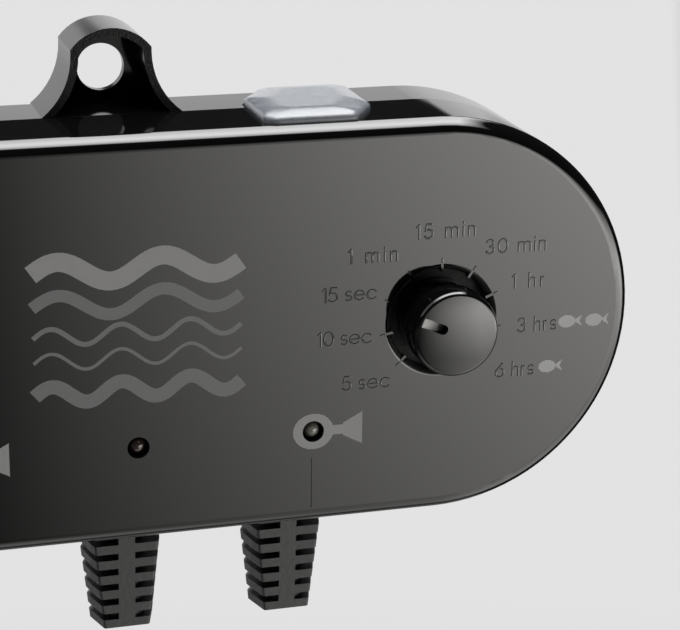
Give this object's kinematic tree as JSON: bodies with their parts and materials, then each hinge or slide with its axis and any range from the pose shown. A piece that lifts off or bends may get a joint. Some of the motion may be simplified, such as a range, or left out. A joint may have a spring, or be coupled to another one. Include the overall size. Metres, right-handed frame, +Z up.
{
  "type": "aquarium wave pump controller",
  "caption": "Wall-hung timer controller for aquarium wave pumps: glossy black housing with rotary time dial, feed button, lamps, light sensor, hanger eye and cable strain reliefs.",
  "frame": {"origin": "centre of the hanger eye, on the wall face of the housing", "axes": "+X along the housing to the dial's side, +Y towards the wall, +Z up"},
  "size_m": [0.1852, 0.0404, 0.1134],
  "materials": {
    "shell_black": "polished moulded ABS",
    "hanger_black": "polished with fine-grained edges",
    "seal_rubber": "soft seal",
    "relief_rubber": "matt moulded rubber",
    "knob_black": "polished",
    "pointer_grey": "satin light grey",
    "steel": "zinc plated",
    "steel_black": "blackened",
    "spring_steel": "drawn wire",
    "brass": "plain",
    "rotor_cream": "acetal",
    "switch_dark": "moulded",
    "wafer_brown": "phenolic",
    "board_green": "solder mask",
    "board_tan": "phenolic board",
    "chip_black": "epoxy",
    "lamp_clear": "water-clear epoxy lens",
    "sensor_dark": "dark epoxy lens",
    "spacer_black": "moulded",
    "button_frost": "frosted translucent",
    "guide_grey": "moulded",
    "plunger_cream": "acetal",
    "relay_cream": "moulded case",
    "film_yellow": "moulded box",
    "sleeve_blue": "shrink sleeve",
    "fuse_glass": "glass tube with end caps",
    "tin": "tinned",
    "terminal_green": "polyamide"
  },
  "bodies": {
    "housing": {"front_shell": "shell_black", "rear_shell": "hanger_black", "shell_seal": "seal_rubber", "case_screws": "steel", "strain_relief_left": "relief_rubber", "strain_relief_centre": "relief_rubber", "strain_relief_right": "relief_rubber", "switch_housing": "switch_dark", "switch_base": "wafer_brown", "detent_ball": "steel", "detent_leaf_spring": "brass", "switch_washer": "steel_black", "switch_nut": "steel_black", "control_board": "board_green", "control_board_screws": "steel", "controller_chip": "chip_black", "lamp_left": "lamp_clear", "lamp_right": "lamp_clear", "light_sensor": "sensor_dark", "lamp_spacers": "spacer_black", "button_spring": "spring_steel", "button_guide": "guide_grey", "feed_switch_body": "switch_dark", "power_board": "board_tan", "power_board_screws": "steel", "relay_left": "relay_cream", "relay_right": "relay_cream", "film_capacitor": "film_yellow", "smoothing_capacitor": "sleeve_blue", "fuse": "fuse_glass", "fuse_clips": "tin", "terminal_block": "terminal_green", "board_link": "chip_black"},
    "dial": {"knob": "knob_black", "pointer_insert": "pointer_grey", "switch_shaft": "steel", "switch_rotor": "rotor_cream"},
    "button": {"feed_button": "button_frost"},
    "plunger": {"feed_switch_plunger": "plunger_cream"}
  },
  "joints": [
    {"name": "dial_turn", "type": "hinge", "parent": "housing", "child": "dial", "pos_m": [0.0559, -0.0315, -0.0434], "axis": [0, 1, 0], "range_deg": [-66.7, 200.1]},
    {"name": "feed_button_press", "type": "slide", "parent": "housing", "child": "button", "axis": [0, 0, -1], "range_m": [0, 0.0008], "stiffness_N_per_m": 300, "springref_m": -0.003, "deforming": ["button_spring"]},
    {"name": "feed_switch_travel", "type": "slide", "parent": "housing", "child": "plunger", "axis": [0, 0, -1], "range_m": [0, 0.0008]}
  ],
  "couplings": [
    {"joint": "feed_switch_travel", "follows": "feed_button_press", "ratio": 1}
  ]
}
